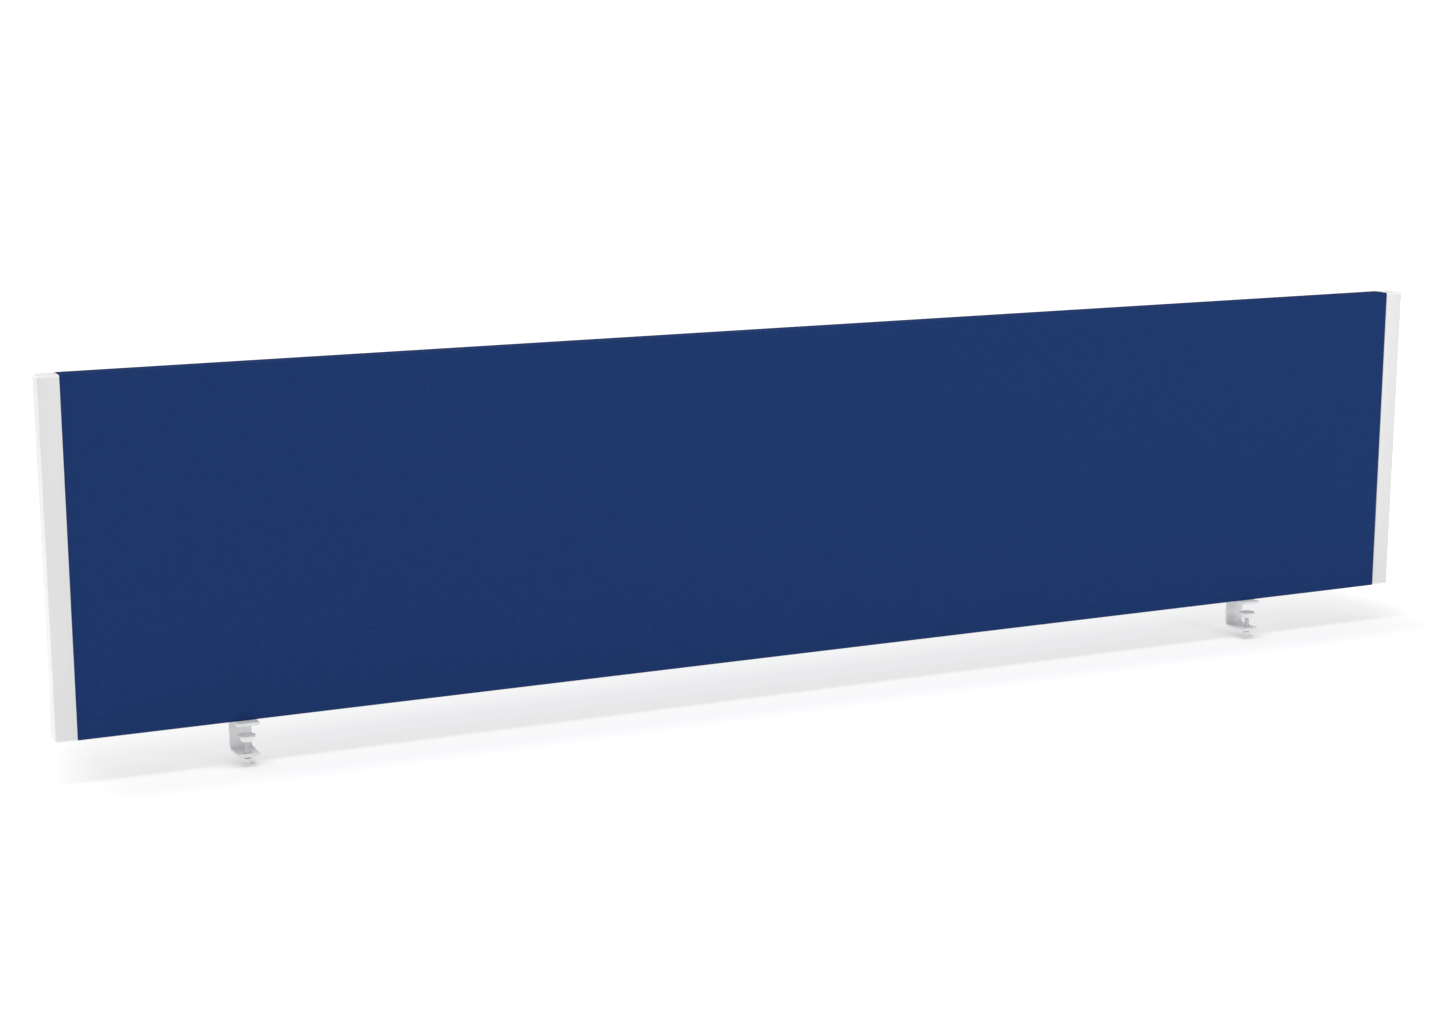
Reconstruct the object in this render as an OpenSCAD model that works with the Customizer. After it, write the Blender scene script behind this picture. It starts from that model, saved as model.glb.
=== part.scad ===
// Desk privacy panel: an upholstered screen between two end trims, held on the rear edge of a
// desktop by two screw clamps.
// Origin: middle of the panel's length, in the plane of the desktop's top and of its rear edge.
// +X runs along the panel, -Y points towards the desk user, +Z is up. Millimetres.

/* [Panel] */
// Overall length of the panel, over both end trims
panel_w = 1800; // [800:10:2000]
// Height of the upholstered panel
panel_h = 400; // [300:10:600]
// Overall depth of the panel, over the end trims
panel_d = 25; // [24:0.5:30]
// Thickness of the core board
core_t = 18; // [12:1:18]
// Thickness of the upholstery fabric
fabric_t = 0.7; // [0.5:0.1:0.8]

/* [End trims] */
// Width of each end trim along the panel
trim_w = 23.5; // [20:0.5:30]
// How much shorter the trim is than the panel, top and bottom together
trim_short = 1; // [0:0.5:4]
// How far a trim stands proud of the fabric on each face
trim_proud = 0.6; // [0.3:0.1:0.8]
// Wall thickness of the trim extrusion
trim_wall = 1.8; // [1.4:0.1:2.2]
// Thickness of the plate of a trim end cap
cap_t = 2; // [1.5:0.5:4]
// Number of T-head studs that hold each trim
stud_count = 4; // [2:1:6]

/* [Clamps] */
// From the panel's left end to the left clamp's centre
left_clamp_inset = 209; // [100:1:350]
// From the panel's right end to the right clamp's centre
right_clamp_inset = 233; // [100:1:350]
// Width of a clamp bracket along the panel
bracket_w = 25; // [24:1:40]
// Depth of the jaw, from the desktop's rear edge to the bracket's nose
jaw_d = 37; // [37:0.5:45]
// Height of the jaw, between the flange and the arm
jaw_h = 33; // [30:0.5:45]
// Thickness of the upper flange
flange_t = 3; // [3:0.5:5]
// Thickness of the vertical web
web_t = 3; // [3:0.5:5]
// Thickness of the lower arm, which carries the thread
arm_t = 3; // [3:0.5:6]

/* [Clamp screws] */
// From the desktop's rear edge to the clamp screw's axis
screw_inset = 27; // [24:0.5:27]
// Nominal radius of the clamp screw's thread
screw_r = 3; // [3:0.5:4]
// Gap between the flange and the pad with the screw as shown
jaw_gap = 12.4; // [8:0.1:14]
// Radius of the swivel pad's disc
pad_r = 10; // [9:0.5:12]
// From the top of the pad to the bottom of the clamp screw and its knob
screw_reach = 34.2; // [34:0.1:40]
// Radius of the knob's disc
knob_r = 8.5; // [8:0.25:11]
// Thickness of the knob's disc
knob_t = 1.8; // [1.6:0.1:4]
// Height of the knob's boss above its disc
boss_h = 5.5; // [2:0.1:6]

/* [Hidden] */

$fn = 64;
cut = 1; // how far a cutting shape runs past what it cuts
left = -1; // side of the panel, as a factor on X
right = 1;

// Panel build-up: the board, foam on both of its faces and fabric over all of it
panel_y = -panel_d / 2; // centre plane, with the trims' back faces at the desktop's rear edge
panel_z = flange_t; // the panel stands on the flanges
fabric_w = panel_w - 2 * trim_w;
fabric_d = panel_d - 2 * trim_proud;
core_w = fabric_w - 2 * fabric_t;
core_h = panel_h - 2 * fabric_t;
filling_d = fabric_d - 2 * fabric_t;
foam_t = (filling_d - core_t) / 2;

// Staples along the seam in the panel's underside
staple_crown = 10;
staple_leg = 8;
staple_wire = 0.5;
staple_pitch = 60;
staple_clear = 20; // none is closer to a clamp's centre than this
staple_n = floor((core_w / 2 - staple_crown) / staple_pitch);

// End trims: a hollow extrusion with a T-slot in its inner face, and a cap at each end
trim_h = panel_h - trim_short;
trim_z = panel_z + trim_short / 2;
trim_corner_r = 0.8;
slot_mouth = 8.4;
slot_lip = 2;
slot_inner_w = 14;
slot_inner_d = 4.5;
bay_start = slot_lip + slot_inner_d + trim_wall;
bay_d = panel_d - 2 * trim_wall;
bay_w = trim_w - bay_start - trim_wall;
spigot_h = 12;
spigot_gap = 0.1;
spigot_wall = 1.5;
spigot_inset = spigot_gap + spigot_wall;
stud_shank_r = 2.5;
stud_shank_l = 30;
stud_neck_r = 3.8;
stud_head_r = 6.5;
stud_head_t = 3;
stud_margin = 50; // from the trim's ends to the first and last stud
stud_gap = 0.2;

// Clamp positions
left_clamp_x = -panel_w / 2 + left_clamp_inset;
right_clamp_x = panel_w / 2 - right_clamp_inset;
flange_corner_r = 1.5;
arm_corner_r = 4;
web_top_r = 3;
web_bottom_r = 6.5;
jaw_top_fillet = 0.8;
jaw_bottom_fillet = 3.5;
bracket_h = flange_t + jaw_h + arm_t;

// Countersunk screws that hold a bracket to threaded inserts in the core
fix_r = 2.5;
fix_l = 16;
fix_spacing = 14;
fix_recess = 0.2;
fix_gap = 0.1;
csk_r = 4.9;
csk_h = csk_r - fix_r;
fix_socket_af = 3;
fix_socket_l = 2;
insert_r = 4;
insert_l = 12;
insert_runout = 3;

// Swivel pad, measured downwards from its top
facing_t = 0.8;
facing_r = pad_r - 0.4;
pad_disc_t = 1.2;
pad_h = 7.2;
hub_top_r = 8.4;
hub_bottom_r = 6.6;
ball_r = 2.6;
ball_drop = 4.3;
ball_gap = 0.3;
neck_r = 1.7;
neck_gap = 0.4;

// Clamp screw and the knob on its lower end
thread_gap = 0.05;
shaft_drop = pad_h + 0.6;
screw_socket_af = 3;
screw_socket_l = 3;
boss_r = 4.4;
knob_chamfer = 0.4;

// Radius of the circle through the corners of a hexagon, from the size across its flats
function hex_r(across_flats) = across_flats / sqrt(3);

// Height of stud number i, counted from the bottom
function stud_z(i) = trim_z + stud_margin + i * (trim_h - 2 * stud_margin) / (stud_count - 1);

// A slab centred on the panel's length, depth and height
module panel_slab(w, d, h) {
    translate([-w / 2, panel_y - d / 2, panel_z + (panel_h - h) / 2])
        cube([w, d, h]);
}

// What is left of a corner square outside its inscribed quarter circle. The corner is at the
// origin, the square lies towards -X and -Y, and it runs past the corner by over.
module corner_waste(r, over = 0) {
    difference() {
        translate([-r, -r])
            square(r + over);
        translate([-r, -r])
            circle(r);
    }
}

// Bores for one clamp's two threaded inserts
module insert_bores(clamp_x) {
    for (side = [left, right])
        translate([clamp_x + side * fix_spacing / 2, panel_y, panel_z])
            cylinder(h = fabric_t + insert_l + insert_runout, r = insert_r);
}

// Rods along X at the height of every stud, from from_x outwards over length l
module stud_rods(side, from_x, l, r) {
    for (i = [0 : stud_count - 1])
        translate([side * from_x, panel_y, stud_z(i)])
            rotate([0, side * 90, 0])
                cylinder(h = l, r = r);
}

module core_board() {
    color("burlywood")
        difference() {
            panel_slab(core_w, core_t, core_h);
            insert_bores(left_clamp_x);
            insert_bores(right_clamp_x);
            for (side = [left, right])
                stud_rods(side, core_w / 2 - stud_shank_l, stud_shank_l + cut, stud_shank_r);
        }
}

// A foam sheet on one face of the core: side is -1 for the front and 1 for the back
module foam(side) {
    color("khaki")
        translate([0, side * (core_t + foam_t) / 2, 0])
            panel_slab(core_w, foam_t, core_h);
}

module fabric_cover() {
    color([0.12, 0.21, 0.41])
        difference() {
            panel_slab(fabric_w, fabric_d, panel_h);
            panel_slab(core_w, filling_d, core_h);
            for (clamp_x = [left_clamp_x, right_clamp_x])
                for (side = [left, right])
                    translate([clamp_x + side * fix_spacing / 2, panel_y, panel_z - cut])
                        cylinder(h = fabric_t + 2 * cut, r = fix_r + fix_gap);
            for (side = [left, right])
                stud_rods(side, core_w / 2 - cut, fabric_t + 2 * cut, stud_neck_r + stud_gap);
        }
}

module staple() {
    translate([-staple_crown / 2, -staple_wire / 2, -staple_wire])
        cube([staple_crown, staple_wire, staple_wire]);
    for (side = [left, right])
        translate([side * (staple_crown - staple_wire) / 2, 0, 0])
            translate([-staple_wire / 2, -staple_wire / 2, -staple_wire])
                cube([staple_wire, staple_wire, staple_leg]);
}

module seam_staples() {
    color("silver")
        for (i = [-staple_n : staple_n])
            if (abs(i * staple_pitch - left_clamp_x) > staple_clear)
                if (abs(i * staple_pitch - right_clamp_x) > staple_clear)
                    translate([i * staple_pitch, panel_y, panel_z])
                        staple();
}

// Outline of a trim, seen from above, with its inner face on the Y axis
module trim_outline() {
    difference() {
        translate([0, -panel_d / 2])
            square([trim_w, panel_d]);
        for (face = [-1, 1])
            scale([1, face])
                translate([trim_w, panel_d / 2])
                    corner_waste(trim_corner_r, cut);
    }
}

module trim_section() {
    difference() {
        trim_outline();
        translate([-cut, -slot_mouth / 2])
            square([cut + slot_lip + slot_inner_d, slot_mouth]);
        translate([slot_lip, -slot_inner_w / 2])
            square([slot_inner_d, slot_inner_w]);
        translate([bay_start, -bay_d / 2])
            square([bay_w, bay_d]);
    }
}

// Puts a trim's plan shape at one end of the panel, at height z
module at_panel_end(side, z) {
    translate([side * fabric_w / 2, panel_y, z])
        scale([side, 1, 1])
            children();
}

module end_trim(side) {
    color("white")
        at_panel_end(side, trim_z + cap_t)
            linear_extrude(trim_h - 2 * cap_t)
                trim_section();
}

// A plate with a hollow spigot that plugs into the trim's bay, spigot upwards
module trim_cap() {
    linear_extrude(cap_t)
        trim_outline();
    translate([bay_start + spigot_gap, -bay_d / 2 + spigot_gap, cap_t])
        linear_extrude(spigot_h)
            difference() {
                square([bay_w - 2 * spigot_gap, bay_d - 2 * spigot_gap]);
                translate([spigot_wall, spigot_wall])
                    square([bay_w - 2 * spigot_inset, bay_d - 2 * spigot_inset]);
            }
}

module trim_bottom_cap(side) {
    color("white")
        at_panel_end(side, trim_z)
            trim_cap();
}

module trim_top_cap(side) {
    color("white")
        at_panel_end(side, trim_z + trim_h)
            mirror([0, 0, 1])
                trim_cap();
}

// Studs screwed into the core's end, whose heads run in the trim's T-slot
module trim_studs(side) {
    color("silver") {
        stud_rods(side, core_w / 2 - stud_shank_l, stud_shank_l, stud_shank_r);
        stud_rods(side, core_w / 2, fabric_t + slot_lip + stud_gap, stud_neck_r);
        stud_rods(side, fabric_w / 2 + slot_lip + stud_gap, stud_head_t, stud_head_r);
    }
}

// Side view of the bracket: X here is depth and Y is height
module bracket_profile() {
    difference() {
        translate([-jaw_d, -jaw_h - arm_t])
            square([jaw_d + web_t, bracket_h]);
        difference() {
            translate([-jaw_d - cut, -jaw_h])
                square([jaw_d + cut, jaw_h]);
            corner_waste(jaw_top_fillet);
            translate([0, -jaw_h])
                mirror([0, 1])
                    corner_waste(jaw_bottom_fillet);
        }
        translate([web_t, flange_t])
            corner_waste(web_top_r, cut);
        translate([web_t, -jaw_h - arm_t])
            mirror([0, 1])
                corner_waste(web_bottom_r, cut);
    }
}

// Rounds the two front corners of a bracket's plate from z up to z + h
module front_corner_waste(r, z, h) {
    for (side = [left, right])
        scale([side, 1, 1])
            translate([bracket_w / 2, -jaw_d, z])
                mirror([0, 1, 0])
                    linear_extrude(h)
                        corner_waste(r, cut);
}

module bracket(clamp_x) {
    color("white")
        translate([clamp_x, 0, 0])
            difference() {
                translate([-bracket_w / 2, 0, 0])
                    rotate([90, 0, 90])
                        linear_extrude(bracket_w)
                            bracket_profile();
                front_corner_waste(flange_corner_r, 0, flange_t + cut);
                front_corner_waste(arm_corner_r, -jaw_h - arm_t - cut, arm_t + 2 * cut);
                translate([0, -screw_inset, -jaw_h - arm_t - cut])
                    cylinder(h = arm_t + 2 * cut, r = screw_r + thread_gap);
                for (side = [left, right])
                    translate([side * fix_spacing / 2, panel_y, 0]) {
                        translate([0, 0, -cut])
                            cylinder(h = flange_t + 2 * cut, r = fix_r + fix_gap);
                        translate([0, 0, -cut])
                            cylinder(h = cut + fix_recess, r = csk_r + fix_gap);
                        translate([0, 0, fix_recess])
                            cylinder(h = csk_h, r1 = csk_r + fix_gap, r2 = fix_r + fix_gap);
                    }
            }
}

module bracket_screws(clamp_x) {
    color("silver")
        for (side = [left, right])
            translate([clamp_x + side * fix_spacing / 2, panel_y, fix_recess])
                difference() {
                    union() {
                        cylinder(h = csk_h, r1 = csk_r, r2 = fix_r);
                        cylinder(h = fix_l, r = fix_r);
                    }
                    translate([0, 0, -cut])
                        cylinder(h = cut + fix_socket_l, r = hex_r(fix_socket_af), $fn = 6);
                }
}

module threaded_inserts(clamp_x) {
    color("gold")
        for (side = [left, right])
            translate([clamp_x + side * fix_spacing / 2, panel_y, panel_z + fabric_t])
                difference() {
                    cylinder(h = insert_l, r = insert_r);
                    translate([0, 0, -cut])
                        cylinder(h = insert_l + 2 * cut, r = fix_r);
                }
}

// Puts a shape on a clamp screw's axis, with z = 0 at the top of the pad
module on_screw_axis(clamp_x) {
    translate([clamp_x, -screw_inset, -jaw_gap])
        children();
}

module pad_facing(clamp_x) {
    color("dimgray")
        on_screw_axis(clamp_x)
            translate([0, 0, -facing_t])
                cylinder(h = facing_t, r = facing_r);
}

// A disc on a tapered hub, with a ball socket that opens downwards
module swivel_pad(clamp_x) {
    color("whitesmoke")
        on_screw_axis(clamp_x)
            difference() {
                union() {
                    translate([0, 0, -facing_t - pad_disc_t])
                        cylinder(h = pad_disc_t, r = pad_r);
                    translate([0, 0, -pad_h])
                        cylinder(h = pad_h - facing_t - pad_disc_t, r1 = hub_bottom_r, r2 = hub_top_r);
                }
                translate([0, 0, -ball_drop])
                    sphere(r = ball_r + ball_gap);
                translate([0, 0, -pad_h - cut])
                    cylinder(h = pad_h + cut - ball_drop, r = neck_r + neck_gap);
            }
}

// Ball, neck and threaded shaft with a hexagon socket in its lower end
module clamp_screw(clamp_x) {
    color("lightgray")
        on_screw_axis(clamp_x)
            difference() {
                union() {
                    translate([0, 0, -ball_drop])
                        sphere(r = ball_r);
                    translate([0, 0, -shaft_drop])
                        cylinder(h = shaft_drop - ball_drop, r = neck_r);
                    translate([0, 0, -screw_reach])
                        cylinder(h = screw_reach - shaft_drop, r = screw_r);
                }
                translate([0, 0, -screw_reach - cut])
                    cylinder(h = cut + screw_socket_l, r = hex_r(screw_socket_af), $fn = 6);
            }
}

// An upright round bar from z = 0 to h, with a chamfer at its top
module chamfered_bar(r, h) {
    cylinder(h = h - knob_chamfer, r = r);
    translate([0, 0, h - knob_chamfer])
        cylinder(h = knob_chamfer, r1 = r, r2 = r - knob_chamfer);
}

// A disc with a boss on top, pressed onto the lower end of the clamp screw
module screw_knob(clamp_x) {
    color("whitesmoke")
        on_screw_axis(clamp_x)
            translate([0, 0, -screw_reach])
                difference() {
                    union() {
                        cylinder(h = knob_chamfer, r1 = knob_r - knob_chamfer, r2 = knob_r);
                        translate([0, 0, knob_chamfer])
                            chamfered_bar(knob_r, knob_t - knob_chamfer);
                        chamfered_bar(boss_r, knob_t + boss_h);
                    }
                    translate([0, 0, -cut])
                        cylinder(h = knob_t + boss_h + 2 * cut, r = screw_r);
                }
}

core_board();
foam(-1);  // front_foam
foam(1);  // back_foam
fabric_cover();
seam_staples();
end_trim(left);  // left_end_trim
end_trim(right);  // right_end_trim
trim_top_cap(left);  // left_trim_top_cap
trim_top_cap(right);  // right_trim_top_cap
trim_bottom_cap(left);  // left_trim_bottom_cap
trim_bottom_cap(right);  // right_trim_bottom_cap
trim_studs(left);  // left_trim_studs
trim_studs(right);  // right_trim_studs
bracket(left_clamp_x);  // left_bracket
bracket(right_clamp_x);  // right_bracket
bracket_screws(left_clamp_x);  // left_bracket_screws
bracket_screws(right_clamp_x);  // right_bracket_screws
threaded_inserts(left_clamp_x);  // left_threaded_inserts
threaded_inserts(right_clamp_x);  // right_threaded_inserts
swivel_pad(left_clamp_x);  // left_swivel_pad
swivel_pad(right_clamp_x);  // right_swivel_pad
pad_facing(left_clamp_x);  // left_pad_facing
pad_facing(right_clamp_x);  // right_pad_facing
clamp_screw(left_clamp_x);  // left_clamp_screw
clamp_screw(right_clamp_x);  // right_clamp_screw
screw_knob(left_clamp_x);  // left_screw_knob
screw_knob(right_clamp_x);  // right_screw_knob
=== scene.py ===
"""Looks for a clamp-on desk privacy panel.

A fabric-covered board between two white end trims stands on two screw clamps.
"""
import math

import bmesh
import bpy
import numpy as np
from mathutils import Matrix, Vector, noise


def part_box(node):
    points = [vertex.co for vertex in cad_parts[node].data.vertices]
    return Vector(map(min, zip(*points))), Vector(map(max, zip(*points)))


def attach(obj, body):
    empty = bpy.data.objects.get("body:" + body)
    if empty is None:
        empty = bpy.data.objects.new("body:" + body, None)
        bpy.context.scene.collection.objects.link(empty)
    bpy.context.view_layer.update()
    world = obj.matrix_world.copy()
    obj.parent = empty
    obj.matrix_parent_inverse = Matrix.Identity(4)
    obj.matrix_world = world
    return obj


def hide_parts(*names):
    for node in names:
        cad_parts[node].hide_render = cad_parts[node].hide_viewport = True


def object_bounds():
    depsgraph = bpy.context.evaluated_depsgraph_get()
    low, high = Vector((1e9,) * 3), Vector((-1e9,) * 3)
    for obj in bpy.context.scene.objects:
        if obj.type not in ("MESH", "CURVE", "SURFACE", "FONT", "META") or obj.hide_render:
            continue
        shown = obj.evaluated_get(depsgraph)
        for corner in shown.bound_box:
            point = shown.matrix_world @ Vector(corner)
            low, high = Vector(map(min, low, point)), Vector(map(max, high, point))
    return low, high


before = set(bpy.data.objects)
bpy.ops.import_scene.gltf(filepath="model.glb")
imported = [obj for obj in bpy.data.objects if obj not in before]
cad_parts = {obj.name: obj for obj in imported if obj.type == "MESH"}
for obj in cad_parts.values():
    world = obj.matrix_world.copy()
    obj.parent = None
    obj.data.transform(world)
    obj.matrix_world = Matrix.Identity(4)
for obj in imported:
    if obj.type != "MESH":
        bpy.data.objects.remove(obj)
cad_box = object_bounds()

MM = 0.001
SIDES = ("left", "right")


# Scene --------------------------------------------------------------------------------------------

FLOOR_GAP = 0.8 * MM
CAMERA_AIM = Vector((-0.10425, -0.0244, 0.1837))
CAMERA_DISTANCE = 3.108
CAMERA_YAW = math.radians(25.319)
CAMERA_PITCH = math.radians(11.497)
CAMERA_LENS = 64.904
SENSOR = 36.0

scene = bpy.context.scene
scene.view_settings.view_transform = "Standard"


def link(obj):
    scene.collection.objects.link(obj)
    return obj


def make_camera():
    data = bpy.data.cameras.new("camera")
    data.lens = CAMERA_LENS
    data.sensor_width = SENSOR
    camera = link(bpy.data.objects.new("camera", data))
    look = Vector((
        math.sin(CAMERA_YAW) * math.cos(CAMERA_PITCH),
        math.cos(CAMERA_YAW) * math.cos(CAMERA_PITCH),
        -math.sin(CAMERA_PITCH),
    ))
    camera.location = CAMERA_AIM - look * CAMERA_DISTANCE
    camera.rotation_euler = (math.pi / 2 - CAMERA_PITCH, 0, -CAMERA_YAW)
    scene.camera = camera


make_camera()


SKY = 0.33
# For each soft box: its place, the point it faces, its width and height in metres, and its power in watts.
SOFT_BOXES = {
    "over_front": ((0.1, -0.45, 2.4), (0.1, -0.01, 0), (2.8, 0.35), 18.6),
    "over_middle": ((0.1, -0.1, 2.4), (0.1, -0.01, 0), (2.8, 0.2), 7.8),
    "front_right": ((1.34, -2.33, 0.93), (0, 0, 0.2), (0.7, 0.7), 11.5),
    "left": ((-3.2, -0.4, 1.0), (-0.9, 0, 0.2), (1.6, 1.6), 18.1),
    "back_left": ((-2.2, 2.4, 1.6), (-0.5, 0, 0.2), (1.6, 1.6), 14.2),
}


def soft_box(name, place, aim, size, power):
    data = bpy.data.lights.new(name, "AREA")
    data.shape = "RECTANGLE"
    data.size, data.size_y = size
    data.energy = power
    light = link(bpy.data.objects.new(name, data))
    light.location = place
    light.rotation_euler = (Vector(aim) - Vector(place)).to_track_quat("-Z", "Y").to_euler()


def make_light():
    """A white studio: the camera and reflections see white; a dimmer sky and soft boxes light the piece."""
    world = bpy.data.worlds.new("studio")
    scene.world = world
    world.use_nodes = True
    nodes, links = world.node_tree.nodes, world.node_tree.links
    seen = nodes["Background"]
    seen.inputs["Color"].default_value = (1, 1, 1, 1)
    seen.inputs["Strength"].default_value = 1.0
    lit = nodes.new("ShaderNodeBackground")
    lit.inputs["Color"].default_value = (1, 1, 1, 1)
    lit.inputs["Strength"].default_value = SKY
    mix = nodes.new("ShaderNodeMixShader")
    path = nodes.new("ShaderNodeLightPath")
    either = nodes.new("ShaderNodeMath")
    either.operation = "MAXIMUM"
    links.new(path.outputs["Is Camera Ray"], either.inputs[0])
    links.new(path.outputs["Is Glossy Ray"], either.inputs[1])
    links.new(either.outputs[0], mix.inputs[0])
    links.new(lit.outputs[0], mix.inputs[1])
    links.new(seen.outputs[0], mix.inputs[2])
    links.new(mix.outputs[0], nodes["World Output"].inputs["Surface"])
    for name, settings in SOFT_BOXES.items():
        soft_box(name, *settings)


make_light()


# Materials ----------------------------------------------------------------------------------------

class Tree:
    """A material with a Principled shader, and short calls for the nodes that feed it."""

    def __init__(self, name, roughness=0.5, metallic=0.0):
        self.material = bpy.data.materials.new(name)
        self.material.use_nodes = True
        self.nodes = self.material.node_tree.nodes
        self.links = self.material.node_tree.links
        self.shader = self.nodes["Principled BSDF"]
        self.put(self.shader, {"Roughness": roughness, "Metallic": metallic})
        self.place = self.add("ShaderNodeTexCoord").outputs["Object"]

    def put(self, node, inputs):
        for key, value in inputs.items():
            if isinstance(value, bpy.types.NodeSocket):
                self.links.new(value, node.inputs[key])
            else:
                node.inputs[key].default_value = value
        return node

    def add(self, kind, inputs=None, **settings):
        node = self.nodes.new(kind)
        for key, value in settings.items():
            setattr(node, key, value)
        return self.put(node, inputs or {})

    def math(self, operation, *values):
        node = self.add("ShaderNodeMath", dict(enumerate(values)), operation=operation)
        return node.outputs[0]

    def split(self, vector):
        return self.add("ShaderNodeSeparateXYZ", {0: vector}).outputs

    def join(self, x, y, z):
        return self.add("ShaderNodeCombineXYZ", {0: x, 1: y, 2: z}).outputs[0]

    def noise(self, scale, detail=2.0, stretch=(1, 1, 1), rough=0.5):
        """Noise from 0 to 1, with scale in features per metre."""
        spread = self.add("ShaderNodeVectorMath", {0: self.place, 1: stretch}, operation="MULTIPLY")
        settings = {"Vector": spread.outputs[0], "Scale": scale, "Detail": detail, "Roughness": rough}
        return self.add("ShaderNodeTexNoise", settings).outputs[0]

    def spread(self, value, low, high, from_low=0.0, from_high=1.0):
        settings = {"Value": value, "From Min": from_low, "From Max": from_high}
        settings.update({"To Min": low, "To Max": high})
        return self.add("ShaderNodeMapRange", settings).outputs[0]

    def blend(self, amount, first, second):
        node = self.add("ShaderNodeMix", data_type="RGBA")
        self.put(node, {0: amount, 6: (*first, 1), 7: (*second, 1)})
        return node.outputs[2]

    def bump(self, height, strength, depth):
        settings = {"Strength": strength, "Distance": depth, "Height": height}
        node = self.add("ShaderNodeBump", settings)
        self.links.new(node.outputs[0], self.shader.inputs["Normal"])

    def paint(self, **sockets):
        names = {"colour": "Base Color", "roughness": "Roughness", "specular": "Specular IOR Level"}
        self.put(self.shader, {names.get(k, k.replace("_", " ").title()): v for k, v in sockets.items()})


def darker(colour, share):
    return tuple(c * share for c in colour)


def powder_coat(name, colour):
    """Baked powder paint: fine orange peel, with slightly uneven gloss and tone."""
    tree = Tree(name)
    peel = tree.noise(620, 3)
    cloud = tree.noise(18, 2)
    tree.paint(colour=tree.blend(cloud, darker(colour, 0.97), colour), roughness=tree.spread(peel, 0.38, 0.5))
    tree.bump(peel, 0.25, 0.05 * MM)
    return tree.material


def moulded(name, colour):
    """Injection-moulded plastic: spark-eroded grain and faint flow clouds."""
    tree = Tree(name)
    pits = tree.noise(1500, 2)
    flow = tree.noise(60, 2, (1, 1, 0.3))
    tree.paint(colour=tree.blend(flow, darker(colour, 0.96), colour), roughness=tree.spread(pits, 0.42, 0.55))
    tree.bump(pits, 0.2, 0.03 * MM)
    return tree.material


def rubber(name, colour):
    """Soft rubber with a fine grain and a little dust."""
    tree = Tree(name)
    grain = tree.noise(1900, 4)
    dust = tree.noise(140, 3)
    tree.paint(colour=tree.blend(dust, darker(colour, 0.92), colour), roughness=tree.spread(grain, 0.7, 0.9))
    tree.bump(grain, 0.45, 0.06 * MM)
    return tree.material


def plated(name, colour, rough=(0.22, 0.4)):
    """Bright zinc or brass: drawn along Z, with small clouds in the gloss."""
    tree = Tree(name, metallic=1.0)
    lines = tree.noise(900, 3, (1, 1, 0.12))
    cloud = tree.noise(210, 3)
    both = tree.math("MULTIPLY", tree.math("ADD", lines, cloud), 0.5)
    tree.paint(
        colour=tree.blend(cloud, darker(colour, 0.82), colour),
        roughness=tree.spread(both, *rough, 0.3, 0.7),
    )
    tree.bump(lines, 0.12, 0.02 * MM)
    return tree.material


def fibreboard(name):
    """Raw board with pressed chips and fine fibres."""
    tree = Tree(name)
    chips = tree.noise(420, 5, (1, 1, 2.2), 0.7)
    fibre = tree.noise(2600, 3)
    tree.paint(
        colour=tree.blend(chips, (0.25, 0.15, 0.075), (0.52, 0.37, 0.21)),
        roughness=tree.spread(fibre, 0.75, 0.92),
    )
    tree.bump(fibre, 0.5, 0.12 * MM)
    return tree.material


def open_foam(name):
    """Open-cell foam: round pores, with a slow change of tone."""
    tree = Tree(name)
    cells = tree.add("ShaderNodeTexVoronoi", {"Vector": tree.place, "Scale": 1400.0})
    tone = tree.noise(90, 2)
    tree.paint(colour=tree.blend(tone, (0.50, 0.50, 0.47), (0.64, 0.63, 0.59)), roughness=0.95)
    tree.bump(cells.outputs["Distance"], 0.8, 0.25 * MM)
    return tree.material


THREAD_PITCH = 0.95 * MM


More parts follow.
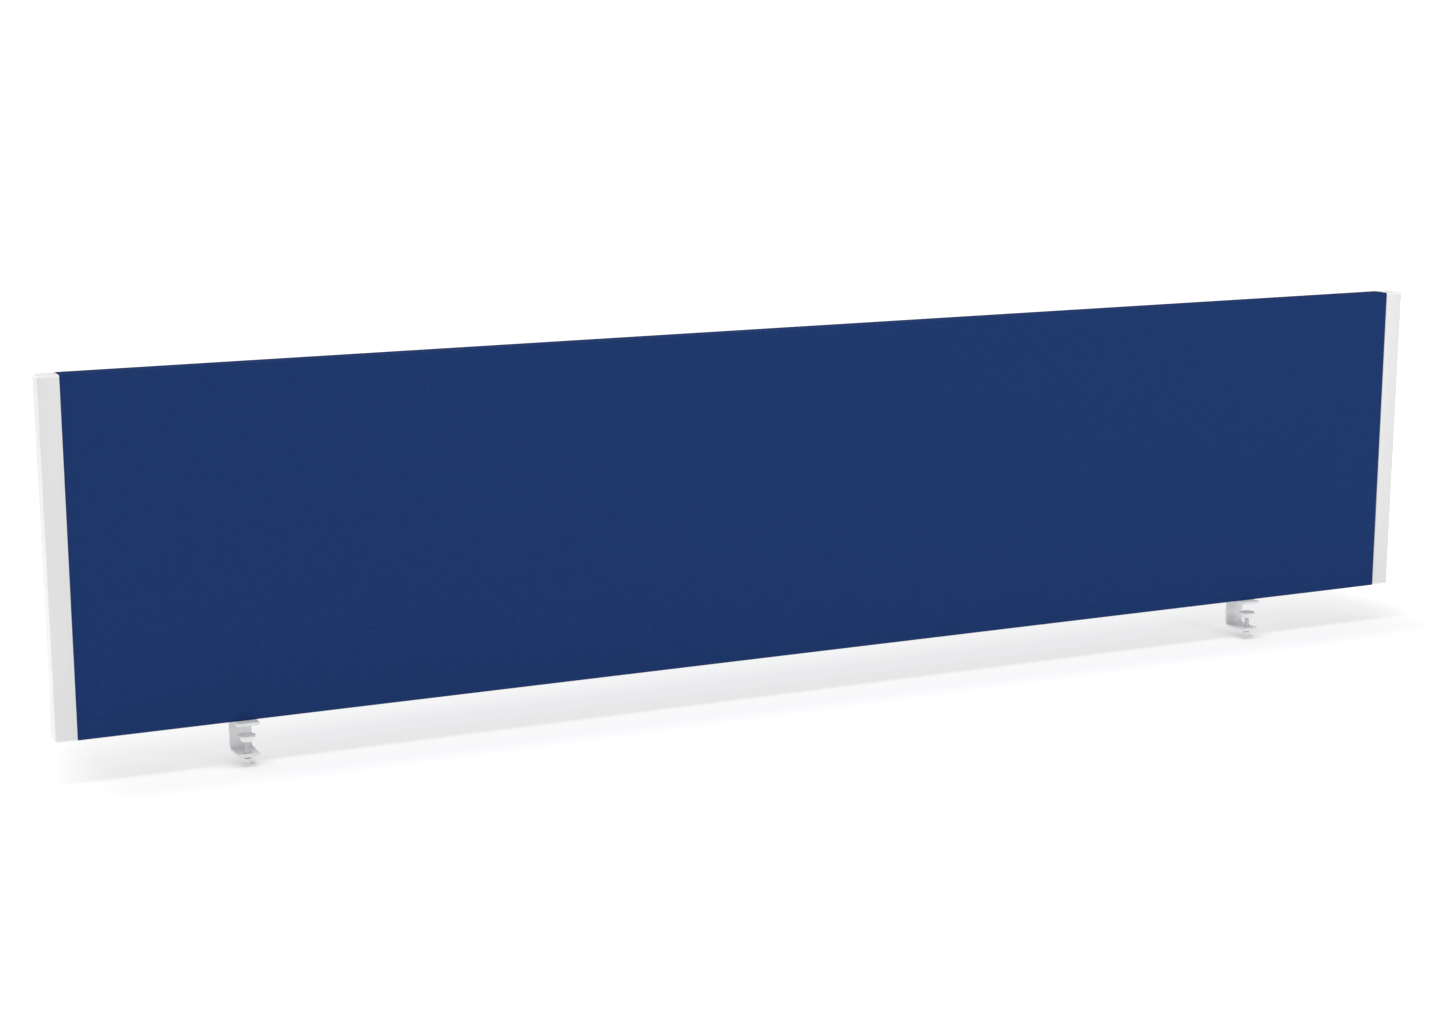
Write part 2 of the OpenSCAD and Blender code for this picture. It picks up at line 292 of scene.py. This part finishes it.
def woven(name, dark, light):
    """Plain-woven panel cloth with uneven, slightly heathered yarns, and painted shade darkening each yarn
    towards its edges.
    """
    tree = Tree(name, roughness=0.9)
    x, y, z = tree.split(tree.place)
    wander = tree.noise(130, 2)
    shift = tree.spread(wander, -0.6, 0.6)
    across = tree.math("ADD", tree.math("MULTIPLY", x, 1 / THREAD_PITCH), shift)
    around = tree.math("ADD", y, z)
    along = tree.math("ADD", tree.math("MULTIPLY", around, 1 / THREAD_PITCH), shift)

    def in_cell(value):
        """Cosine across one yarn: 1 on its crown and 0 at its edges."""
        inside = tree.math("SUBTRACT", tree.math("FRACT", value), 0.5)
        return tree.math("MAXIMUM", tree.math("COSINE", tree.math("MULTIPLY", inside, math.pi)), 0.0)

    warp, weft = in_cell(across), in_cell(along)
    cells = tree.math("ADD", tree.math("FLOOR", across), tree.math("FLOOR", along))
    over = tree.math("FLOORED_MODULO", cells, 2.0)

    def crown(narrow, wide):
        return tree.math("MULTIPLY", tree.math("POWER", narrow, 0.7), tree.math("POWER", wide, 0.35))

    warp_up, weft_up = crown(warp, weft), crown(weft, warp)
    pick = tree.add("ShaderNodeMix", {0: over, 2: warp_up, 3: weft_up}, data_type="FLOAT")
    weave = pick.outputs[0]
    slub = tree.noise(520, 3, (0.55, 1, 1), 0.6)
    fibre = tree.noise(5200, 2)
    height = tree.math("ADD", weave, tree.math("MULTIPLY", fibre, 0.35))
    height = tree.math("ADD", height, tree.math("MULTIPLY", slub, 0.8))
    # The colour is partly the yarns' own uneven tone (slub) and partly painted shade and highlight from the
    # weave: darker between yarns, lighter on their crowns.
    tone = tree.math("ADD", tree.math("MULTIPLY", weave, 0.35), tree.math("MULTIPLY", slub, 0.65))
    tree.paint(colour=tree.blend(tree.spread(tone, 0, 1, 0.2, 0.8), dark, light), specular=0.02)
    tree.bump(height, 0.6, 0.16 * MM)
    return tree.material


TRIM_WHITE = (0.778, 0.778, 0.778)
CLAMP_WHITE = (0.86, 0.86, 0.86)
MATERIALS = {
    "blue_fabric": woven("blue_weave", (0.0097, 0.0326, 0.1270), (0.0178, 0.0488, 0.1750)),
    "white_trim": powder_coat("trim_powder_coat", TRIM_WHITE),
    "white_bracket": powder_coat("bracket_powder_coat", CLAMP_WHITE),
    "white_plastic": moulded("white_moulding", (0.91, 0.91, 0.905)),
    "pale_rubber": rubber("pale_rubber_grain", (0.80, 0.80, 0.80)),
    "plated_steel": plated("zinc_plate", (0.70, 0.71, 0.72), (0.3, 0.5)),
    "brass_insert": plated("brass", (0.72, 0.52, 0.24)),
    "board": fibreboard("fibreboard"),
    "foam": open_foam("foam_cells"),
}


# Mesh helpers -------------------------------------------------------------------------------------

WELD = 0.001 * MM
FLAT_ANGLE = math.radians(0.6)
EDGE_ANGLE = math.radians(38)
EDGE_SEGMENTS = 3


def piece_from(name, mesh, slot, body):
    """Makes a named piece with the material of its slot, riding on a body."""
    for polygon in mesh.polygons:
        polygon.use_smooth = True
    mesh.materials.clear()
    mesh.materials.append(MATERIALS[slot])
    piece = link(bpy.data.objects.new(name, mesh))
    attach(piece, body)
    return piece


def mesh_from(name, bm):
    bmesh.ops.recalc_face_normals(bm, faces=bm.faces)
    mesh = bpy.data.meshes.new(name)
    bm.to_mesh(mesh)
    bm.free()
    return mesh


def applied(mesh, name, kind, **settings):
    """The mesh with one modifier applied."""
    carrier = link(bpy.data.objects.new(name, mesh))
    modifier = carrier.modifiers.new(name, kind)
    for key, value in settings.items():
        setattr(modifier, key, value)
    graph = bpy.context.evaluated_depsgraph_get()
    result = bpy.data.meshes.new_from_object(carrier.evaluated_get(graph))
    bpy.data.objects.remove(carrier)
    result.name = name
    return result


def eased(node, name, slot, body, width):
    """A CAD node's shape with its hard edges eased, in place of the node."""
    bm = bmesh.new()
    bm.from_mesh(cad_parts[node].data)
    bmesh.ops.remove_doubles(bm, verts=bm.verts, dist=WELD)
    bmesh.ops.dissolve_limit(bm, angle_limit=FLAT_ANGLE, verts=bm.verts, edges=bm.edges, delimit=set())
    mesh = applied(
        mesh_from(name, bm), name, "BEVEL", width=width, segments=EDGE_SEGMENTS, limit_method="ANGLE",
        angle_limit=EDGE_ANGLE, harden_normals=True,
    )
    piece = piece_from(name, mesh, slot, body)
    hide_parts(node)
    return piece


def rings_mesh(rings):
    """A closed skin over rings of points, one ring after another, each with the same number of points."""
    bm = bmesh.new()
    rows = [[bm.verts.new(p) for p in ring] for ring in rings]
    count = len(rows[0])
    for low, high in zip(rows, rows[1:]):
        for i in range(count):
            j = (i + 1) % count
            bm.faces.new((low[i], low[j], high[j], high[i]))
    bm.faces.new(rows[0])
    bm.faces.new(rows[-1])
    return bm


def lathed(profile, centre, count=96):
    """Rings for (radius, z) points turned about a vertical axis through centre."""
    turns = [2 * math.pi * i / count for i in range(count)]
    return [
        [(centre[0] + r * math.cos(t), centre[1] + r * math.sin(t), z) for t in turns]
        for r, z in profile
    ]


# Fabric cover -------------------------------------------------------------------------------------

# At the lap under the panel, each of the two layers is pressed to half its thickness.
CLOTH = 0.7 * MM
LAP_CLOTH = CLOTH / 2
LAP_GAP = 0.03 * MM
LAP_RISE = 0.6 * LAP_CLOTH
EDGE_R = 1.0 * MM
LEAST_R = 0.3 * MM
END_R = 1.0 * MM
END_FLAT = 0.5 * MM
END_TURN_IN = 8 * MM
LAP_FRONT = 4 * MM
LAP_BACK = 6 * MM
LAP_FEATHER = 1 * MM
ARC_STEPS = 7
FACE_STEPS = 26
DEPTH_STEPS = 8
FACE_SPANS = (FACE_STEPS, DEPTH_STEPS, FACE_STEPS)
LENGTH_STEPS = 150
END_ARC_STEPS = 4
TURN_IN_STEPS = 3
RELIEF = 0.12 * MM
FINE_RELIEF = 0.4
SLACK = 0.4 * RELIEF
ON_A_FACE = 0.9
TINY = 1e-12


def steps(start, end, count):
    return [start + (end - start) * i / count for i in range(count + 1)]


def cloth_section(lo, hi, inset):
    """The cloth's outer line round the board: (y, z, thickness) points from its tucked to its free edge."""
    radius = max(EDGE_R - inset, LEAST_R)
    y0, y1, z0, z1 = lo.y + inset, hi.y - inset, lo.z + inset, hi.z - inset
    seam = (lo.y + hi.y) / 2
    reach = min(1.0, (y1 - y0) / (hi.y - lo.y))
    front, back = seam - LAP_FRONT * reach, seam + LAP_BACK * reach
    tuck_z, tuck_thick = z0 + LAP_CLOTH + LAP_GAP, LAP_CLOTH - LAP_GAP
    tuck_end = back - (LAP_FEATHER + LAP_GAP) * reach
    points = [(y, tuck_z, tuck_thick) for y in steps(tuck_end, front, DEPTH_STEPS)]
    points += [(y, z0 + LAP_RISE, CLOTH) for y in steps(front - LAP_FEATHER * reach, y0 + radius, 3)]
    corners = (
        (y0 + radius, z0 + radius, 270, 180), (y0 + radius, z1 - radius, 180, 90),
        (y1 - radius, z1 - radius, 90, 0), (y1 - radius, z0 + radius, 360, 270),
    )

    def on_corner(cy, cz, degrees):
        angle = math.radians(degrees)
        return cy + radius * math.cos(angle), cz + radius * math.sin(angle)

    for k, (cy, cz, first, last) in enumerate(corners):
        points += [(*on_corner(cy, cz, a), CLOTH) for a in steps(first, last, ARC_STEPS)]
        if k < len(FACE_SPANS):
            (ya, za), (yb, zb) = on_corner(cy, cz, last), on_corner(*corners[k + 1][:3])
            between = steps(0, 1, FACE_SPANS[k])[1:-1]
            points += [(ya + (yb - ya) * t, za + (zb - za) * t, CLOTH) for t in between]
    points += [(y, z0, CLOTH) for y in steps(y1 - radius, back, 4)[1:]]
    points += [(y, z0, LAP_CLOTH) for y in steps(back - LAP_FEATHER * reach, front, DEPTH_STEPS)]
    return points


def cloth_relief(x, y, z):
    """Slow unevenness of the stretched cloth over its foam."""
    slow = noise.noise(Vector((x * 6.5, y * 4, z * 11)))
    fine = noise.noise(Vector((x * 31, 7, z * 38)))
    return RELIEF * slow + FINE_RELIEF * RELIEF * fine


def outward_normals(points):
    """Unit normals of a grid of points."""
    along = np.gradient(points, axis=0)
    around = np.gradient(points, axis=1)
    direction = np.cross(along, around)
    return direction / np.maximum(np.linalg.norm(direction, axis=2, keepdims=True), TINY)


def sheet_mesh(outer, under):
    """A closed skin over two grids of points, joined along their rims."""
    bm = bmesh.new()
    top = [[bm.verts.new(p) for p in row] for row in outer]
    bottom = [[bm.verts.new(p) for p in row] for row in under]
    rows, columns = outer.shape[:2]
    for i in range(rows - 1):
        for j in range(columns - 1):
            bm.faces.new((top[i][j], top[i][j + 1], top[i + 1][j + 1], top[i + 1][j]))
            bm.faces.new((bottom[i][j], bottom[i + 1][j], bottom[i + 1][j + 1], bottom[i][j + 1]))
    rim = [(i, 0) for i in range(rows)] + [(rows - 1, j) for j in range(1, columns)]
    rim += [(i, columns - 1) for i in range(rows - 2, -1, -1)] + [(0, j) for j in range(columns - 2, 0, -1)]
    for (i, j), (k, m) in zip(rim, rim[1:] + rim[:1]):
        bm.faces.new((top[i][j], bottom[i][j], bottom[k][m], top[k][m]))
    return bm


def make_cloth():
    """The cover: one sheet wrapped round the board, turned in at both ends and lapped underneath."""
    lo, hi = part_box("fabric_cover")
    quarter = [math.radians(a) for a in steps(0, 90, END_ARC_STEPS)]
    stations = [(hi.x, d) for d in steps(END_TURN_IN, END_R + END_FLAT, TURN_IN_STEPS)]
    stations += [(hi.x - END_R + END_R * math.cos(a), END_R - END_R * math.sin(a)) for a in quarter]
    inner = [(x, 0.0) for x in steps(hi.x - END_R, lo.x + END_R, LENGTH_STEPS)[1:-1]]
    stations = stations + inner + [(-x, d) for x, d in reversed(stations)]
    grid, thickness = [], []
    for x, inset in stations:
        section = cloth_section(lo, hi, inset)
        grid.append([(x, y, z) for y, z, _ in section])
        thickness.append([t for _, _, t in section])
    outer = np.array(grid)
    thick = np.array(thickness)[:, :, None]
    outward = outward_normals(outer)
    middle = np.array([(lo.x + hi.x) / 2, (lo.y + hi.y) / 2, (lo.z + hi.z) / 2])
    probe = outer.shape[0] // 2, outer.shape[1] // 4
    if np.dot(outward[probe], outer[probe] - middle) < 0:
        outward = -outward
    inner_skin = outer - outward * thick
    for i in range(outer.shape[0]):
        for j in range(outer.shape[1]):
            if abs(outward[i, j, 1]) > ON_A_FACE and thick[i, j, 0] == CLOTH:
                shift = outward[i, j] * (cloth_relief(*outer[i, j]) - SLACK)
                outer[i, j] += shift
                inner_skin[i, j] += shift
    name = "fabric_cover_cloth"
    piece = piece_from(name, mesh_from(name, sheet_mesh(outer, inner_skin)), "blue_fabric", "panel")
    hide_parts("fabric_cover")


FOAM_EDGE = 0.7 * MM
STAPLE_EDGE = 0.12 * MM

for side in ("front", "back"):
    foam = eased(side + "_foam", side + "_foam_pad", "foam", "panel", FOAM_EDGE)
make_cloth()
eased("seam_staples", "seam_staple_row", "plated_steel", "panel", STAPLE_EDGE)


# End trims and brackets ---------------------------------------------------------------------------

TRIM_EDGE = 0.2 * MM
CAP_EDGE = 0.12 * MM
BRACKET_EDGE = 0.45 * MM
SCREW_EDGE = 0.15 * MM

for side in SIDES:
    eased(side + "_end_trim", side + "_trim_extrusion", "white_trim", "panel", TRIM_EDGE)
    for end in ("top", "bottom"):
        eased(f"{side}_trim_{end}_cap", f"{side}_{end}_cap_moulding", "white_plastic", "panel", CAP_EDGE)
    eased(side + "_bracket", side + "_bracket_plate", "white_bracket", "panel", BRACKET_EDGE)
    eased(side + "_bracket_screws", side + "_countersunk_screws", "plated_steel", "panel", SCREW_EDGE)


# Swivel pads and clamp screws ---------------------------------------------------------------------

PAD_EDGE = 0.3 * MM
KNOB_EDGE = 0.18 * MM
FACING_EDGE = 0.25 * MM
FACING_STEPS = 64
# The grip grooves' middle radii, and one groove's (offset, depth) points, in millimetres.
GRIP_GROOVES = (7.6, 6.0, 4.4, 2.8)
GROOVE_SHAPE = ((0.3, 0), (0.15, 0.18), (-0.15, 0.18), (-0.3, 0))
PAD_H = 7.2 * MM
BALL_DROP = 4.3 * MM
BALL_R = 2.6 * MM
NECK_R = 1.7 * MM
SHAFT_R = 3.0 * MM
ROOT_R = 2.45 * MM
PITCH = 1.0 * MM
RUN_IN = 0.8 * MM
RUN_OUT = 0.5 * MM
TOOTH_CREST = 1.6
TOOTH_SLOPE = 4
SHAFT_GAP = 0.6 * MM
NECK_FILLET = ((0, 0.5 * MM), (0.15 * MM, 0.1 * MM))
SHOULDER = 0.05 * MM
END_CHAMFER = 0.2 * MM
SOCKET_AF = 3.0 * MM
SOCKET_DEEP = 3.0 * MM
SOCKET_MOUTH = 1.1
SOCKET_CONE = 0.5 * MM
POINT_R = 0.3 * MM
CENTRE_R = 0.2 * MM
BALL_START = 0.06
BALL_STEPS = 18
TURN_STEPS = 48
PITCH_STEPS = 12
FACING_SHARP = math.radians(35)
THREAD_SHARP = math.radians(32)


def make_facing(side):
    """The pad's rubber face, with shallow grip rings."""
    node = side + "_pad_facing"
    lo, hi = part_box(node)
    outer = (hi.x - lo.x) / 2
    centre = ((lo.x + hi.x) / 2, (lo.y + hi.y) / 2)
    edge_r, edge_z = outer - FACING_EDGE, hi.z - FACING_EDGE
    profile = [(CENTRE_R, lo.z), (outer, lo.z)]
    for angle in (math.radians(d) for d in (0, 30, 60, 90)):
        profile.append((edge_r + FACING_EDGE * math.cos(angle), edge_z + FACING_EDGE * math.sin(angle)))
    for groove in GRIP_GROOVES:
        profile += [((groove + offset) * MM, hi.z - depth * MM) for offset, depth in GROOVE_SHAPE]
    profile.append((CENTRE_R, hi.z))
    name = side + "_grip_facing"
    mesh = mesh_from(name, rings_mesh(lathed(profile, centre, FACING_STEPS)))
    piece = piece_from(name, mesh, "pale_rubber", side + "_clamp_pad")
    mesh.set_sharp_from_angle(angle=FACING_SHARP)
    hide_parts(node)


def thread_rings(centre, top, bottom):
    """Rings for an M6 thread from top down to bottom, run out to its root at both ends."""
    count = int((top - bottom) / PITCH * PITCH_STEPS)
    rings = []
    for k in range(count + 1):
        z = top + (bottom - top) * k / count
        run = max(0.0, min(1.0, (top - z) / RUN_IN, (z - bottom) / RUN_OUT))
        ring = []
        for i in range(TURN_STEPS):
            turn = i / TURN_STEPS
            phase = (z / PITCH - turn) % 1.0
            tooth = min(1.0, max(0.0, TOOTH_CREST - abs(phase - 0.5) * TOOTH_SLOPE))
            radius = ROOT_R + (SHAFT_R - ROOT_R) * tooth * run
            angle = 2 * math.pi * turn
            ring.append((centre[0] + radius * math.cos(angle), centre[1] + radius * math.sin(angle), z))
        rings.append(ring)
    return rings


def make_screw(side):
    """Ball end, neck and thread, with a hexagon socket in the lower end."""
    node = side + "_clamp_screw"
    lo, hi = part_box(node)
    pad_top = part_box(side + "_pad_facing")[1].z
    centre = ((lo.x + hi.x) / 2, (lo.y + hi.y) / 2)
    ball_z = pad_top - BALL_DROP
    neck_angle = math.asin(NECK_R / BALL_R)
    shaft_top = pad_top - PAD_H - SHAFT_GAP
    profile = []
    for a in steps(BALL_START, math.pi - neck_angle, BALL_STEPS):
        profile.append((BALL_R * math.sin(a), ball_z + BALL_R * math.cos(a)))
    profile += [(NECK_R + out, shaft_top + up) for out, up in NECK_FILLET]
    profile.append((ROOT_R, shaft_top))
    rings = lathed(profile, centre, TURN_STEPS)
    rings += thread_rings(centre, shaft_top - SHOULDER, lo.z + END_CHAMFER)

    def hexagon(scale, z):
        """A ring round a hexagon, scale times as wide as the socket."""
        ring = []
        for i in range(TURN_STEPS):
            turn = 2 * math.pi * i / TURN_STEPS
            within = (turn % (math.pi / 3)) - math.pi / 6
            radius = scale * SOCKET_AF / 2 / math.cos(within)
            ring.append((centre[0] + radius * math.cos(turn), centre[1] + radius * math.sin(turn), z))
        return ring

    socket_end = lo.z + SOCKET_DEEP
    rings += lathed([(ROOT_R - END_CHAMFER, lo.z)], centre, TURN_STEPS)
    rings += [hexagon(SOCKET_MOUTH, lo.z), hexagon(1, lo.z + END_CHAMFER), hexagon(1, socket_end)]
    rings += lathed([(POINT_R, socket_end + SOCKET_CONE)], centre, TURN_STEPS)
    name = side + "_clamp_bolt"
    mesh = mesh_from(name, rings_mesh(rings))
    piece = piece_from(name, mesh, "plated_steel", side + "_clamp_screw")
    mesh.set_sharp_from_angle(angle=THREAD_SHARP)
    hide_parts(node)


for side in SIDES:
    eased(side + "_swivel_pad", side + "_swivel_foot", "white_plastic", side + "_clamp_pad", PAD_EDGE)
    make_facing(side)
    make_screw(side)
    eased(side + "_screw_knob", side + "_thumb_knob", "white_plastic", side + "_clamp_screw", KNOB_EDGE)


# CAD nodes that stay, and the floor ---------------------------------------------------------------

KEPT = {"core_board": "board"}
for side in SIDES:
    KEPT[side + "_trim_studs"] = "plated_steel"
    KEPT[side + "_threaded_inserts"] = "brass_insert"
for node, slot in KEPT.items():
    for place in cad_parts[node].material_slots:
        place.material = MATERIALS[slot]


# The floor's glow is painted light. It is weakest in a painted shade round the panel, and grows to white over
# the glow's reach outside it.
FLOOR_ALBEDO = 0.42
GLOW_NEAR = 0.637
GLOW_FAR = 0.96
GLOW_REACH = 0.18
SHADE_MIDDLE = 0.04
SHADE_HALF_LENGTH = 0.86
SHADE_FRONT = -0.05
SHADE_BACK = 0.2
CONTACT_REACH = 40 * MM
CONTACT_SHADE = 0.55
FLOOR_REACH = 12


def make_floor():
    """A pale floor whose emission is painted light: it glows up to white away from the panel, dims to a
    painted shade round the panel and under the clamps, and is clear from below.

    Each half stays just under its own clamp screw, so that no screw goes through it.
    """
    tree = Tree("pale_floor", roughness=0.9)
    tone = tree.noise(2.5, 2)
    pale = (FLOOR_ALBEDO,) * 3
    tree.paint(colour=tree.blend(tone, darker(pale, 0.99), pale), specular=0.0)
    x, y, _ = tree.split(tree.place)
    off_middle = tree.math("ABSOLUTE", tree.math("SUBTRACT", x, SHADE_MIDDLE))
    beside = tree.math("MAXIMUM", tree.math("SUBTRACT", off_middle, SHADE_HALF_LENGTH), 0.0)
    before = tree.math("MAXIMUM", tree.math("SUBTRACT", SHADE_FRONT, y), 0.0)
    behind = tree.math("MAXIMUM", tree.math("SUBTRACT", y, SHADE_BACK), 0.0)
    away = tree.math("ADD", before, behind)
    offset = tree.join(beside, away, 0.0)
    distance = tree.add("ShaderNodeVectorMath", {0: offset}, operation="LENGTH").outputs["Value"]
    ramp = {"Value": distance, "From Max": GLOW_REACH, "To Min": GLOW_NEAR, "To Max": GLOW_FAR}
    glow = tree.add("ShaderNodeMapRange", ramp, interpolation_type="SMOOTHSTEP").outputs[0]
    # Ambient occlusion dims the glow further, into a painted contact shadow under and round the clamps.
    clear_above = tree.add("ShaderNodeAmbientOcclusion", {"Distance": CONTACT_REACH}).outputs["AO"]
    strength = tree.math("MULTIPLY", glow, tree.spread(clear_above, 1 - CONTACT_SHADE, 1))
    tree.put(tree.shader, {"Emission Color": (1, 1, 1, 1), "Emission Strength": strength})
    below = tree.add("ShaderNodeNewGeometry").outputs["Backfacing"]
    clear = tree.add("ShaderNodeBsdfTransparent").outputs[0]
    mix = tree.add("ShaderNodeMixShader", {0: below, 1: tree.shader.outputs[0], 2: clear})
    tree.links.new(mix.outputs[0], tree.nodes["Material Output"].inputs["Surface"])
    z = cad_box[0].z - FLOOR_GAP
    near, far = -FLOOR_REACH, FLOOR_REACH
    for side, start, end in (("left", -FLOOR_REACH, 0), ("right", 0, FLOOR_REACH)):
        name = side + "_floor"
        bm = bmesh.new()
        outline = ((start, near), (end, near), (end, far), (start, far))
        bm.faces.new([bm.verts.new((*corner, z)) for corner in outline])
        mesh = bpy.data.meshes.new(name)
        bm.to_mesh(mesh)
        bm.free()
        mesh.materials.append(tree.material)
        floor = link(bpy.data.objects.new(name, mesh))
        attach(floor, side + "_clamp_pad")


make_floor()
